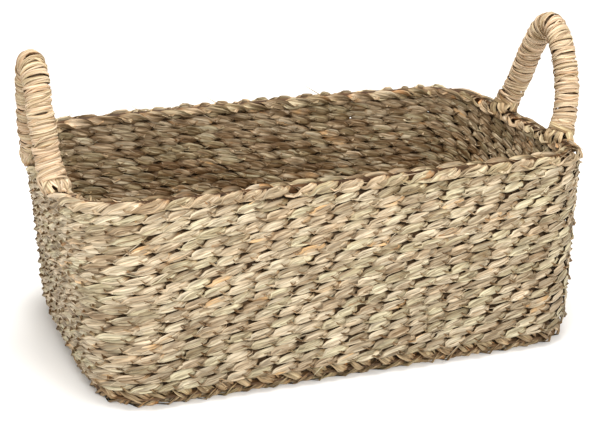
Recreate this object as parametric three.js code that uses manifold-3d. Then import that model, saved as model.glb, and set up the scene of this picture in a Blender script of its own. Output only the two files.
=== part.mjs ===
// A rectangular magazine basket of plaited seagrass, with two wrapped loop handles.
// Millimetres, +Z up. +X runs along the length and -Y is the long front wall.
// The origin is on the floor, under the middle of the overall length and breadth.

import * as THREE from 'three';
import { mergeVertices } from 'three/addons/utils/BufferGeometryUtils.js';
import Module from 'manifold-3d';

const wasm = await Module();
wasm.setup();

// Outline of the basket, over the outside of the wall: from the foot to the rim, each end leans out
// by its flare, and each side leans in by its tuck.
const RIM_LENGTH = 447;
const RIM_BREADTH = 243;
const END_FLARE = 15;
const SIDE_TUCK = 4.5;
const RIM_END_BOW = 16;
const RIM_SIDE_BOW = 3;
const RIM_CORNER_RADIUS = 43;
const FOOT_END_BOW = 6;
const FOOT_CORNER_RADIUS = 40.5;

// The plait that is stacked to make the wall, lying flat with its width across the wall.
const COURSE_COUNT = 18;
const COURSE_PITCH = 7.95;
const PLAIT_WIDTH = 13;

// The rim plait, which finishes the top, and how far the end rims sink between the handles' feet.
const RIM_PLAIT_HEIGHT = 9;
const RIM_PLAIT_WIDTH = 14;
const END_DIP = 11;

// The border plait, which stands on edge round the base and leans in at its foot.
const BORDER_HEIGHT = 12.9;
const BORDER_THICKNESS = 8;
const BORDER_LEAN = 3;

// The flat turns of plait that make the base.
const BASE_THICKNESS = 8;
const BASE_TURN_COUNT = 9;
const TIGHTEST_RADIUS = 0.2;

// The handles: a stiff core with pegs that go down into the wall, and a wrap of twine.
const HANDLE_DIAMETER = 20.4;
const HANDLE_RISE = 85.5;
const HANDLE_OUTSET = 2;
const LEFT_SPAN = 76;
const RIGHT_SPAN = 98;
const LEFT_LEAN = 6;
const RIGHT_LEAN = 14;
const WRAP_THICKNESS = 3;
const WRAP_LOOPS = 22;
const WRAP_GAP = 0.9;
const WRAP_CLEARANCE = 0.45;
const CROWN_REACH = 20.5;
const PEG_DIAMETER = 6;
const PEG_COURSES = 3;

// The lashing that binds each foot of a handle to the rim, and how far it stands proud of the handle.
const LASHING_PROUD = 1.6;
const LASHING_HEIGHT = 6;

// The gap between pieces that touch, and the overrun of a cutter.
const CLEARANCE = 0.3;
const OVERRUN = 2;

// Counts of facets.
const WALL_STEPS = { side: 2, corner: 4, end: 2 };
const BASE_STEPS = { side: 1, corner: 3, end: 2 };
const ARCH_STEPS = 28;
const CORE_HALF_SIDES = 5;
const PEG_SIDES = 8;
const LASHING_SIDES = 12;
const WRAP_STEPS_PER_LOOP = 12;

const COLOURS = {
  wall: new THREE.Color(0.62, 0.55, 0.4),
  rim: new THREE.Color(0.66, 0.57, 0.42),
  border: new THREE.Color(0.5, 0.4, 0.27),
  base: new THREE.Color(0.56, 0.48, 0.34),
  core: new THREE.Color(0.45, 0.36, 0.24),
  wrap: new THREE.Color(0.74, 0.63, 0.46),
  lashing: new THREE.Color(0.7, 0.6, 0.43),
};

// A flattened hexagon: its width across the plait and its height, as shares of the plait's own.
const SECTION_SHARES = [
  [0, 0.5],
  [0.24, 1],
  [0.76, 1],
  [1, 0.5],
  [0.76, 0],
  [0.24, 0],
];

// How far the curve handle at a leg's top reaches, as a share of the arch's rise.
const ARCH_RISE_SHARE = 0.35;

// How far a leg runs in towards the middle, and outwards, as shares of what it rises.
const LEFT_LEG_SHARES = { inwards: 0.42, outwards: 0.17 };
const RIGHT_LEG_SHARES = { inwards: 0.25, outwards: 0.43 };

// Levels that the parts share.
const wallHeight = BORDER_HEIGHT + COURSE_COUNT * COURSE_PITCH + RIM_PLAIT_HEIGHT;
const handleRadius = HANDLE_DIAMETER / 2;
const coreRadius = handleRadius - WRAP_THICKNESS - WRAP_CLEARANCE;
const pegRadius = PEG_DIAMETER / 2;
const lashingRadius = handleRadius + LASHING_PROUD;

const footOutline = {
  halfLength: RIM_LENGTH / 2 - END_FLARE,
  halfBreadth: RIM_BREADTH / 2 + SIDE_TUCK,
  endBow: FOOT_END_BOW,
  sideBow: 0,
  radius: FOOT_CORNER_RADIUS,
};
const rimOutline = {
  halfLength: RIM_LENGTH / 2,
  halfBreadth: RIM_BREADTH / 2,
  endBow: RIM_END_BOW,
  sideBow: RIM_SIDE_BOW,
  radius: RIM_CORNER_RADIUS,
};

const leftHandle = {
  side: 'left',
  sideX: -1,
  halfSpan: LEFT_SPAN / 2,
  lean: LEFT_LEAN,
  legShares: LEFT_LEG_SHARES,
};
const rightHandle = {
  side: 'right',
  sideX: 1,
  halfSpan: RIGHT_SPAN / 2,
  lean: RIGHT_LEAN,
  legShares: RIGHT_LEG_SHARES,
};

const basket = new THREE.Group();

// Adds one named piece with its own finish.
function addPiece(name, geometry, colour) {
  const material = new THREE.MeshStandardMaterial({ color: colour, roughness: 0.85, metalness: 0 });
  const mesh = new THREE.Mesh(geometry, material);
  mesh.name = name;
  basket.add(mesh);
}

// The wall's outline at a level, between the foot's outline and the rim's.
function outlineAt(level) {
  const share = (level - BORDER_HEIGHT) / (wallHeight - BORDER_HEIGHT);
  const outline = {};
  for (const key of Object.keys(footOutline)) {
    outline[key] = THREE.MathUtils.lerp(footOutline[key], rimOutline[key], share);
  }
  return outline;
}

// The same outline, a distance further in.
function insetOutline(outline, inset) {
  return {
    halfLength: outline.halfLength - inset,
    halfBreadth: outline.halfBreadth - inset,
    endBow: outline.endBow,
    sideBow: outline.sideBow,
    radius: outline.radius - inset,
  };
}

// The stations round a ring, quarter by quarter: a place on its side wall, its corner or its end wall.
function ringStations(steps) {
  const quarter = [];
  for (let i = 0; i < steps.side; i += 1) {
    quarter.push({ run: 'side', share: i / steps.side });
  }
  for (let i = 0; i <= steps.corner; i += 1) {
    quarter.push({ run: 'corner', share: i / steps.corner });
  }
  for (let i = steps.end - 1; i >= 0; i -= 1) {
    quarter.push({ run: 'end', share: i / steps.end });
  }
  const stations = [];
  [[1, -1], [1, 1], [-1, 1], [-1, -1]].forEach(([sideX, sideY], index) => {
    const ordered = index % 2 === 0 ? quarter : quarter.toReversed();
    for (const place of ordered.slice(0, -1)) {
      stations.push({ ...place, sideX, sideY });
    }
  });
  return stations;
}

// The point of an outline at a station: a rounded rectangle whose sides and ends bow out.
function outlinePoint(outline, station) {
  const flatLength = outline.halfLength - outline.endBow;
  const flatBreadth = outline.halfBreadth - outline.sideBow;
  const straightX = flatLength - outline.radius;
  const straightY = flatBreadth - outline.radius;
  let x = straightX * station.share;
  let y = flatBreadth;
  if (station.run === 'corner') {
    const angle = (1 - station.share) * (Math.PI / 2);
    x = straightX + outline.radius * Math.cos(angle);
    y = straightY + outline.radius * Math.sin(angle);
  } else if (station.run === 'end') {
    x = flatLength;
    y = straightY * station.share;
  }
  const bowedX = x + (x / flatLength) * outline.endBow * (1 - (y / flatBreadth) ** 2);
  const bowedY = y + (y / flatBreadth) * outline.sideBow * (1 - (x / flatLength) ** 2);
  return new THREE.Vector2(station.sideX * bowedX, station.sideY * bowedY);
}

// How far the courses sink at a place on the end walls: nothing at the side walls and the base.
function dipAt(y, level) {
  const outline = outlineAt(level);
  const heightShare = (level - BORDER_HEIGHT) / (wallHeight - BORDER_HEIGHT);
  const acrossShare = Math.max(0, 1 - (y / outline.halfBreadth) ** 2);
  return END_DIP * acrossShare * heightShare ** 2;
}

// The ring's points at one station, with its lower and upper faces at two nominal levels.
function courseSection(station, low, high, width) {
  const outline = outlineAt((low + high) / 2);
  return SECTION_SHARES.map(([acrossShare, heightShare]) => {
    const point = outlinePoint(insetOutline(outline, acrossShare * width), station);
    const bottom = low + CLEARANCE / 2 - dipAt(point.y, low);
    const top = high - CLEARANCE / 2 - dipAt(point.y, high);
    return new THREE.Vector3(point.x, point.y, THREE.MathUtils.lerp(bottom, top, heightShare));
  });
}

// Joins a row of sections into one closed body, as a ring or with flat ends.
function joinSections(sections, closed) {
  const sides = sections[0].length;
  const positions = sections.flat().flatMap((point) => [point.x, point.y, point.z]);
  const indices = [];
  const last = closed ? sections.length : sections.length - 1;
  for (let i = 0; i < last; i += 1) {
    const near = i * sides;
    const far = ((i + 1) % sections.length) * sides;
    for (let j = 0; j < sides; j += 1) {
      const next = (j + 1) % sides;
      indices.push(near + j, far + j, far + next, near + j, far + next, near + next);
    }
  }
  if (!closed) {
    const end = (sections.length - 1) * sides;
    for (let j = 1; j < sides - 1; j += 1) {
      indices.push(0, j, j + 1, end, end + j + 1, end + j);
    }
  }
  const geometry = new THREE.BufferGeometry();
  geometry.setAttribute('position', new THREE.Float32BufferAttribute(positions, 3));
  geometry.setIndex(indices);
  return facingOut(geometry);
}

// Turns every face over if the body's faces point in.
function facingOut(geometry) {
  const position = geometry.getAttribute('position');
  const index = geometry.getIndex();
  const corner = [0, 1, 2].map(() => new THREE.Vector3());
  let volume = 0;
  for (let i = 0; i < index.count; i += 3) {
    corner.forEach((vector, k) => vector.fromBufferAttribute(position, index.getX(i + k)));
    volume += corner[0].dot(corner[1].clone().cross(corner[2]));
  }
  if (volume < 0) {
    for (let i = 0; i < index.count; i += 3) {
      const second = index.getX(i + 1);
      index.setX(i + 1, index.getX(i + 2));
      index.setX(i + 2, second);
    }
  }
  return geometry;
}

// A closed geometry as a solid that can be joined and cut.
function toSolid(geometry) {
  const bare = geometry.clone();
  bare.deleteAttribute('normal');
  bare.deleteAttribute('uv');
  const merged = mergeVertices(bare);
  return new wasm.Manifold(new wasm.Mesh({
    numProp: 3,
    vertProperties: new Float32Array(merged.getAttribute('position').array),
    triVerts: new Uint32Array(merged.getIndex().array),
  }));
}

// A solid as a geometry again.
function toGeometry(solid) {
  const mesh = solid.getMesh();
  const geometry = new THREE.BufferGeometry();
  geometry.setAttribute('position', new THREE.Float32BufferAttribute(mesh.vertProperties, 3));
  geometry.setIndex(new THREE.Uint32BufferAttribute(mesh.triVerts, 1));
  return geometry;
}

// A straight round bar between two points.
function barBetween(start, end, radius, sides) {
  const along = end.clone().sub(start);
  const bar = new THREE.CylinderGeometry(radius, radius, along.length(), sides);
  const turn = new THREE.Quaternion();
  turn.setFromUnitVectors(new THREE.Vector3(0, 1, 0), along.clone().normalize());
  bar.applyQuaternion(turn);
  const centre = start.clone().add(end).multiplyScalar(1 / 2);
  bar.translate(centre.x, centre.y, centre.z);
  return bar;
}

// The middle of the end wall at one of a handle's feet, at a level.
function wallCentreAt({ sideX, halfSpan }, sideY, level) {
  const outline = insetOutline(outlineAt(level), RIM_PLAIT_WIDTH / 2);
  const flatLength = outline.halfLength - outline.endBow;
  const flatBreadth = outline.halfBreadth - outline.sideBow;
  const reach = flatLength + outline.endBow * (1 - (halfSpan / flatBreadth) ** 2);
  const x = sideX * (reach + HANDLE_OUTSET);
  return new THREE.Vector3(x, sideY * halfSpan, level - dipAt(halfSpan, level));
}

// One foot of a handle: its place on the rim, the ways down the wall and up the leg, and how far up
// the leg its core, its lashing and its wrap begin.
function handleFoot(handle, sideY) {
  const pegDepth = RIM_PLAIT_HEIGHT + (PEG_COURSES - 1 / 2) * COURSE_PITCH;
  const top = wallCentreAt(handle, sideY, wallHeight);
  const below = wallCentreAt(handle, sideY, wallHeight - pegDepth);
  const wallUp = top.clone().sub(below).normalize();
  const { inwards, outwards } = handle.legShares;
  const up = new THREE.Vector3(handle.sideX * outwards, -sideY * inwards, 1).normalize();
  const tilt = Math.hypot(up.x, up.y);
  const slope = (2 * END_DIP * handle.halfSpan) / (RIM_BREADTH / 2) ** 2;
  const coreStart = CLEARANCE + coreRadius * (tilt + slope);
  const lashingStart = CLEARANCE + lashingRadius * slope;
  const wrapStart = lashingStart + LASHING_HEIGHT + CLEARANCE + handleRadius * tilt;
  return { top, below, wallUp, up, tilt, coreStart, lashingStart, wrapStart };
}

// The middle of a handle at its highest point.
function crownOf(handle) {
  const crown = wallCentreAt(handle, 1, wallHeight).setY(0);
  crown.x += handle.sideX * handle.lean;
  crown.z += HANDLE_RISE;
  return crown;
}

// The line of a handle's core, from one foot over the crown to the other.
function handlePath(handle) {
  const [front, back] = [handleFoot(handle, -1), handleFoot(handle, 1)];
  const start = front.top.clone().addScaledVector(front.up, front.coreStart);
  const end = back.top.clone().addScaledVector(back.up, back.coreStart);
  const startCurve = front.top.clone().addScaledVector(front.up, front.wrapStart);
  const endCurve = back.top.clone().addScaledVector(back.up, back.wrapStart);
  const crown = crownOf(handle);
  const reach = ARCH_RISE_SHARE * (crown.z - startCurve.z);
  const path = new THREE.CurvePath();
  path.add(new THREE.LineCurve3(start, startCurve));
  path.add(new THREE.CubicBezierCurve3(
    startCurve,
    startCurve.clone().addScaledVector(front.up, reach),
    crown.clone().setY(crown.y - CROWN_REACH),
    crown,
  ));
  path.add(new THREE.CubicBezierCurve3(
    crown,
    crown.clone().setY(crown.y + CROWN_REACH),
    endCurve.clone().addScaledVector(back.up, reach),
    endCurve,
  ));
  path.add(new THREE.LineCurve3(endCurve, end));
  return path;
}

// The stiff core: a bent round bar with a thinner peg going down from each foot.
function handleCore(handle, path) {
  const circle = new THREE.Shape();
  circle.absarc(0, 0, coreRadius, 0, 2 * Math.PI, false);
  const bar = new THREE.ExtrudeGeometry(circle, {
    extrudePath: path,
    steps: ARCH_STEPS,
    curveSegments: CORE_HALF_SIDES,
    bevelEnabled: false,
  });
  let solid = toSolid(bar);
  for (const sideY of [-1, 1]) {
    const foot = handleFoot(handle, sideY);
    const upper = foot.top.clone().addScaledVector(foot.wallUp, foot.coreStart + coreRadius / 2);
    const peg = barBetween(foot.below, upper, pegRadius, PEG_SIDES);
    solid = solid.add(toSolid(peg));
  }
  return toGeometry(solid);
}

// The directions across a handle's line at a distance along it: outwards, and towards the crown.
function frameAlong(path, length, distance) {
  const share = THREE.MathUtils.clamp(distance / length, 0, 1);
  const centre = path.getPointAt(share);
  const along = path.getTangentAt(share).normalize();
  const outward = new THREE.Vector3(1, 0, 0);
  outward.addScaledVector(along, -outward.dot(along)).normalize();
  const across = along.clone().cross(outward);
  return { centre, along, outward, across };
}

// A point on a round surface about a handle's line.
function pointAbout(frame, angle, radius) {
  return frame.centre.clone()
    .addScaledVector(frame.outward, radius * Math.cos(angle))
    .addScaledVector(frame.across, radius * Math.sin(angle));
}

// The wrap: one unbroken flat tube wound round the core, with its turns drawn together inside the bend.
function handleWrap(path, foot) {
  const length = path.getLength();
  const innerRadius = (coreRadius + WRAP_CLEARANCE) / Math.cos(Math.PI / WRAP_STEPS_PER_LOOP);
  const startDistance = foot.wrapStart - foot.coreStart;
  const pitch = (length - 2 * startDistance) / (WRAP_LOOPS + 1);
  const sections = [];
  for (let i = 0; i <= WRAP_LOOPS * WRAP_STEPS_PER_LOOP; i += 1) {
    const turn = i / WRAP_STEPS_PER_LOOP;
    const angle = 2 * Math.PI * turn;
    const distance = startDistance + pitch * (turn + 1 / 2);
    const frame = frameAlong(path, length, distance);
    const before = pointAbout(frameAlong(path, length, distance - pitch / 2), angle, handleRadius);
    const after = pointAbout(frameAlong(path, length, distance + pitch / 2), angle, handleRadius);
    const width = before.distanceTo(after) - WRAP_GAP;
    sections.push(SECTION_SHARES.map(([alongShare, outShare]) => {
      const radius = THREE.MathUtils.lerp(innerRadius, handleRadius, outShare);
      return pointAbout(frame, angle, radius).addScaledVector(frame.along, (alongShare - 1 / 2) * width);
    }));
  }
  sections.unshift(straightEnd(sections[0], sections[1]));
  sections.push(straightEnd(sections.at(-1), sections.at(-2)));
  return sections;
}

// The end of a wound tube, which runs on straight for one tube thickness.
function straightEnd(section, neighbour) {
  const run = section[0].clone().sub(neighbour[0]).setLength(WRAP_THICKNESS);
  return section.map((point) => point.clone().add(run));
}

// The least distance between points of the wrap that lie a turn or more apart.
function leastGap(sections) {
  let least = Infinity;
  const span = WRAP_STEPS_PER_LOOP;
  sections.forEach((section, i) => {
    for (let k = i + span - 1; k < Math.min(sections.length, i + span + 2); k += 1) {
      for (const point of section) {
        for (const other of sections[k]) {
          least = Math.min(least, point.distanceTo(other));
        }
      }
    }
  });
  return least;
}

// The lashing round a handle's foot: a bound ring that lies on the rim.
function footLashing(foot) {
  const inner = coreRadius + CLEARANCE + LASHING_HEIGHT * foot.tilt;
  const edge = LASHING_HEIGHT / 4;
  const profile = [
    [inner, 0],
    [lashingRadius - edge, 0],
    [lashingRadius, LASHING_HEIGHT / 2],
    [lashingRadius - edge, LASHING_HEIGHT],
    [inner, LASHING_HEIGHT],
    [inner, 0],
  ].map(([radius, height]) => new THREE.Vector2(radius, height));
  const ring = new THREE.LatheGeometry(profile, LASHING_SIDES);
  ring.rotateX(Math.PI / 2);
  const middle = foot.top.clone().addScaledVector(foot.up, foot.lashingStart + LASHING_HEIGHT / 2);
  ring.translate(middle.x, middle.y, foot.top.z + foot.lashingStart);
  return toGeometry(toSolid(ring));
}

// The holes that the handles' pegs go down through.
function pegHoles() {
  const holes = [];
  for (const handle of [leftHandle, rightHandle]) {
    for (const sideY of [-1, 1]) {
      const foot = handleFoot(handle, sideY);
      const low = foot.below.clone().addScaledVector(foot.wallUp, -OVERRUN);
      const high = foot.top.clone().addScaledVector(foot.wallUp, OVERRUN);
      holes.push(toSolid(barBetween(low, high, pegRadius + CLEARANCE, PEG_SIDES)));
    }
  }
  return holes;
}

// The stacked courses of the wall and the rim plait on top of them.
function addWall(stations) {
  const holes = pegHoles();
  for (let i = 1; i <= COURSE_COUNT + 1; i += 1) {
    const isRim = i === COURSE_COUNT + 1;
    const low = BORDER_HEIGHT + (i - 1) * COURSE_PITCH;
    const high = isRim ? wallHeight : low + COURSE_PITCH;
    const width = isRim ? RIM_PLAIT_WIDTH : PLAIT_WIDTH;
    const sections = stations.map((station) => courseSection(station, low, high, width));
    let ring = joinSections(sections, true);
    if (i > COURSE_COUNT - PEG_COURSES) {
      ring = toGeometry(holes.reduce((solid, hole) => solid.subtract(hole), toSolid(ring)));
    }
    const name = isRim ? 'rim_plait' : `wall_course_${String(i).padStart(2, '0')}`;
    addPiece(name, ring, isRim ? COLOURS.rim : COLOURS.wall);
  }
}

// The border plait, on edge round the base.
function addBorder(stations) {
  const sections = stations.map((station) => SECTION_SHARES.map(([acrossShare, heightShare]) => {
    const inset = acrossShare * BORDER_THICKNESS + BORDER_LEAN * (1 - heightShare);
    const point = outlinePoint(insetOutline(footOutline, inset), station);
    const top = BORDER_HEIGHT - CLEARANCE / 2;
    return new THREE.Vector3(point.x, point.y, heightShare * top);
  }));
  addPiece('base_border_plait', joinSections(sections, true), COLOURS.border);
}

// The flat turns of the base, from the border in to the middle, where their ends no longer bow.
function addBase(stations) {
  const outermost = insetOutline(footOutline, BORDER_THICKNESS + BORDER_LEAN / 2 + CLEARANCE);
  const pitch = outermost.halfBreadth / BASE_TURN_COUNT;
  const width = pitch - CLEARANCE;
  for (let i = 0; i < BASE_TURN_COUNT; i += 1) {
    const turn = insetOutline(outermost, i * pitch);
    turn.endBow = outermost.endBow * (1 - i / BASE_TURN_COUNT);
    turn.halfLength -= outermost.endBow - turn.endBow;
    turn.radius = Math.max(turn.radius, width + TIGHTEST_RADIUS);
    const sections = stations.map((station) => SECTION_SHARES.map(([acrossShare, heightShare]) => {
      const point = outlinePoint(insetOutline(turn, acrossShare * width), station);
      return new THREE.Vector3(point.x, point.y, heightShare * BASE_THICKNESS);
    }));
    addPiece(`base_turn_${String(i + 1).padStart(2, '0')}`, joinSections(sections, true), COLOURS.base);
  }
}

// One handle: its core, its wrap and the lashings at its two feet.
function addHandle(handle) {
  const path = handlePath(handle);
  addPiece(`handle_core_${handle.side}`, handleCore(handle, path), COLOURS.core);
  const sections = handleWrap(path, handleFoot(handle, -1));
  addPiece(`handle_wrap_${handle.side}`, joinSections(sections, false), COLOURS.wrap);
  console.log(`handle_wrap_${handle.side}: least gap to itself ${leastGap(sections).toFixed(2)} mm`);
  addPiece(`foot_lashing_${handle.side}_front`, footLashing(handleFoot(handle, -1)), COLOURS.lashing);
  addPiece(`foot_lashing_${handle.side}_back`, footLashing(handleFoot(handle, 1)), COLOURS.lashing);
}

const wallStations = ringStations(WALL_STEPS);
addWall(wallStations);
addBorder(wallStations);
addBase(ringStations(BASE_STEPS));
addHandle(leftHandle);
addHandle(rightHandle);

// The right handle leans out further, so the whole is moved until it stands centred.
basket.position.x = -(crownOf(leftHandle).x + crownOf(rightHandle).x) / 2;

const part = new THREE.Group();
part.add(basket);

export default part;
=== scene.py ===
import logging
import math
from dataclasses import dataclass, replace
from enum import Enum

import bmesh
import bpy
import numpy as np
from mathutils import Matrix, Vector


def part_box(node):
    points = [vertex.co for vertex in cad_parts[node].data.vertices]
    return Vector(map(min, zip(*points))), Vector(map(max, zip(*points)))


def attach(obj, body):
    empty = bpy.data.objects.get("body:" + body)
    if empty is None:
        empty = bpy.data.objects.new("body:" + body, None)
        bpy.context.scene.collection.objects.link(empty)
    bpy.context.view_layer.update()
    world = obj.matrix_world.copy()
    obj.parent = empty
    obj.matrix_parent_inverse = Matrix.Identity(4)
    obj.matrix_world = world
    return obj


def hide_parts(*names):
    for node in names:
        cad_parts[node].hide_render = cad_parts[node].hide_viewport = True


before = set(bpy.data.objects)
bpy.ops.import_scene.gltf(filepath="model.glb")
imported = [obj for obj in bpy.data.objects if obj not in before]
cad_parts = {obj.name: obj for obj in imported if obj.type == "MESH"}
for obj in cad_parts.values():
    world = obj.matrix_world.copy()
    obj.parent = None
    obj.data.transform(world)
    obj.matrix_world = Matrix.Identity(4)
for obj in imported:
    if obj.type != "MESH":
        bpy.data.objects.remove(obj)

log = logging.getLogger("basket")

MM = 0.001
BODY = "root"
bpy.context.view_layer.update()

COURSE_NODES = [f"wall_course_{number:02d}" for number in range(1, 19)]
BASE_NODES = [f"base_turn_{number:02d}" for number in range(1, 10)]
RIM_NODE = "rim_plait"
BORDER_NODE = "base_border_plait"

STRANDS_IN_PLAIT = 3
HALF_TURN = math.pi
FULL_TURN = 2 * math.pi

# The UV maps are in centimetres, and each leaf's lies this far from that of the leaf before.
UV_PER_METRE = 100
UV_BETWEEN_LEAVES = 7.3

Colour = tuple[float, float, float]
Pair = tuple[float, float]


class HandleSide(Enum):
    """Which end of the basket a handle stands on."""

    LEFT = "left"
    RIGHT = "right"

    @property
    def sign(self) -> int:
        """The direction along X in which the handle lies."""
        return -1 if self is HandleSide.LEFT else 1


class HandleFoot(Enum):
    """Which foot of a handle a piece belongs to."""

    FRONT = "front"
    BACK = "back"

    @property
    def sign(self) -> int:
        """The direction along Y in which the foot stands."""
        return -1 if self is HandleFoot.FRONT else 1


def lerp(low: float, high: float, share: float) -> float:
    """Returns the value at a share of the way from low to high."""
    return low + (high - low) * share


def ease(share: np.ndarray) -> np.ndarray:
    """Returns shares between nought and one with a gentle start and end."""
    return share * share * (3 - 2 * share)


def unit(vectors: np.ndarray) -> np.ndarray:
    """Returns the rows scaled to a length of one."""
    return vectors / np.linalg.norm(vectors, axis=-1, keepdims=True)


def loop_direction(points: np.ndarray) -> np.ndarray:
    """Returns the direction of a closed run at each of its points."""
    return unit(np.roll(points, -1, axis=0) - np.roll(points, 1, axis=0))


def run_direction(points: np.ndarray) -> np.ndarray:
    """Returns the direction of a run with two ends at each of its points."""
    return unit(np.gradient(points, axis=0))


def square_to(along: np.ndarray, facing: np.ndarray) -> np.ndarray:
    """Returns the facing directions, leant over until they are square to the run."""
    return unit(facing - along * (facing * along).sum(axis=1, keepdims=True))


def path_length(points: np.ndarray) -> float:
    """Returns the length of the way through the points."""
    return float(np.linalg.norm(np.diff(points, axis=0), axis=1).sum())


def spaced_evenly(path: np.ndarray, count: int, closed: bool) -> np.ndarray:
    """Sets out evenly spaced points along a path.

    Args:
        path: The corners of the path. A closed path ends with its first corner.
        count: How many points to set out.
        closed: Whether the end is left out, since it would repeat the start.

    Returns:
        The points.
    """
    steps = np.linalg.norm(np.diff(path, axis=0), axis=1)
    travelled = np.concatenate([[0], np.cumsum(steps)])
    wanted = np.linspace(0, travelled[-1], count, endpoint=not closed)
    return np.stack([np.interp(wanted, travelled, axis) for axis in path.T], axis=1)


def wander(rng: np.random.Generator, knots: int, count: int, closed: bool = True) -> np.ndarray:
    """Makes a smooth random run.

    Args:
        rng: The source of random numbers.
        knots: How many stretches the run has between random values.
        count: How many samples to return.
        closed: Whether the run goes round a loop and joins up at its ends.

    Returns:
        Samples between -1 and 1.
    """
    values = rng.uniform(-1, 1, knots if closed else knots + 1)
    short_of_end = 1e-6
    place = np.arange(count) * knots / count if closed else np.linspace(0, knots - short_of_end, count)
    index = place.astype(int)
    share = ease(place - index)
    return values[index] * (1 - share) + values[(index + 1) % len(values)] * share


def tilt_from_up(along: np.ndarray, facing: np.ndarray) -> np.ndarray:
    """Works out how far a leaf is tilted about its run from lying flat.

    Args:
        along: The direction of the run at each point.
        facing: The direction that the leaf's face looks in.

    Returns:
        The tilt at each point, in radians.
    """
    up = unit(np.array([0.0, 0.0, 1.0]) - along * along[:, 2:3])
    beside = np.cross(along, up)
    return np.arctan2((facing * beside).sum(axis=1), (facing * up).sum(axis=1))


def hand_over(piece: bpy.types.Object, material: bpy.types.Material, node: str) -> None:
    """Gives a finished piece its material and fastens it to the basket.

    Args:
        piece: The finished piece.
        material: Its material.
        node: The solid of the frame that it stands for.
    """
    piece.data.materials.append(material)
    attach(piece, BODY)
    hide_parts(node)
    log.info("%s: %d faces", piece.name, len(piece.data.polygons))


@dataclass(frozen=True)
class Outline:
    """A rounded rectangle in plan, whose sides and ends bow out."""

    centre_x: float
    half_length: float
    half_breadth: float
    end_bow: float
    side_bow: float
    radius: float
    tightest_radius: float = 0.5 * MM
    side_points: int = 120
    corner_points: int = 60
    end_points: int = 80

    @classmethod
    def round_node(cls, node: str, end_bow: float, side_bow: float, radius: float) -> "Outline":
        """Makes the outline that runs round the outside of a ring of the frame.

        Args:
            node: The ring's node.
            end_bow: How far the ends bow out.
            side_bow: How far the sides bow out.
            radius: The radius of the corners.

        Returns:
            The outline, centred on the node.
        """
        low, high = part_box(node)
        centre_x = (low[0] + high[0]) / 2
        return cls(centre_x, (high[0] - low[0]) / 2, (high[1] - low[1]) / 2, end_bow, side_bow, radius)

    def inset(self, distance: float) -> "Outline":
        """Returns the same outline, a distance further in."""
        return replace(
            self,
            half_length=self.half_length - distance,
            half_breadth=self.half_breadth - distance,
            radius=max(self.radius - distance, self.tightest_radius),
        )

    def path(self) -> np.ndarray:
        """Draws the closed way round, counter-clockwise from the middle of the front side.

        Returns:
            The corners of the way in plan, about the outline's own centre.
        """
        flat_x = self.half_length - self.end_bow
        flat_y = self.half_breadth - self.side_bow
        straight_x = flat_x - self.radius
        straight_y = flat_y - self.radius
        arc = np.linspace(-HALF_TURN / 2, 0, self.corner_points)
        corner = np.stack([np.cos(arc), np.sin(arc)], axis=1) * self.radius
        corner += np.array([straight_x, -straight_y])
        side = np.linspace((0, -flat_y), (straight_x, -flat_y), self.side_points)
        end = np.linspace((flat_x, -straight_y), (flat_x, 0), self.end_points)
        quarter = np.concatenate([side[:-1], corner[:-1], end])
        half = np.concatenate([quarter, (quarter * [1, -1])[::-1][1:]])
        ring = np.concatenate([half, (half * [-1, 1])[::-1][1:]])
        shares = ring / [flat_x, flat_y]
        bows = np.array([self.end_bow, self.side_bow])
        return ring + shares * bows * (1 - shares[:, ::-1] ** 2)

    def trace(self, count: int) -> tuple[np.ndarray, np.ndarray, float]:
        """Follows the outline.

        Args:
            count: How many points to set out, evenly spaced.

        Returns:
            The points in plan, the directions outwards, and the length of the outline.
        """
        path = self.path()
        points = spaced_evenly(path, count, closed=True)
        along = loop_direction(points)
        outwards = np.stack([along[:, 1], -along[:, 0]], axis=1)
        points[:, 0] += self.centre_x
        return points, outwards, path_length(path)


@dataclass(frozen=True)
class Guide:
    """The closed line that a plait follows, and how the plait is turned along it."""

    points: np.ndarray
    edge: np.ndarray
    face: np.ndarray
    length: float

    @classmethod
    def flat(cls, plan: np.ndarray, outwards: np.ndarray, levels: np.ndarray, length: float) -> "Guide":
        """Makes the guide of a plait whose edge looks outwards and whose face looks up.

        Args:
            plan: The line's points in plan.
            outwards: The directions outwards in plan.
            levels: The height of each point.
            length: The length of the line.

        Returns:
            The guide.
        """
        points = np.column_stack([plan, levels])
        edge = np.column_stack([outwards, np.zeros(len(plan))])
        return cls(points, edge, np.cross(edge, loop_direction(points)), length)

    def begun_at(self, start: int) -> "Guide":
        """Returns the same closed line, begun at another of its points."""
        turned = (np.roll(rows, -start, axis=0) for rows in (self.points, self.edge, self.face))
        return Guide(*turned, self.length)

    def turned_face(self, turn: np.ndarray, along: np.ndarray) -> np.ndarray:
        """Returns where a leaf's face looks, turned from the guide's edge towards its face."""
        looking = self.edge * np.cos(turn)[:, None] + self.face * np.sin(turn)[:, None]
        return square_to(along, looking)


@dataclass(frozen=True)
class Strand:
    """The run of one leaf, ready to be swept: its points, tilts, sizes and marks."""

    points: np.ndarray
    tilt: np.ndarray
    size: np.ndarray
    marks: np.ndarray


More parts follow.
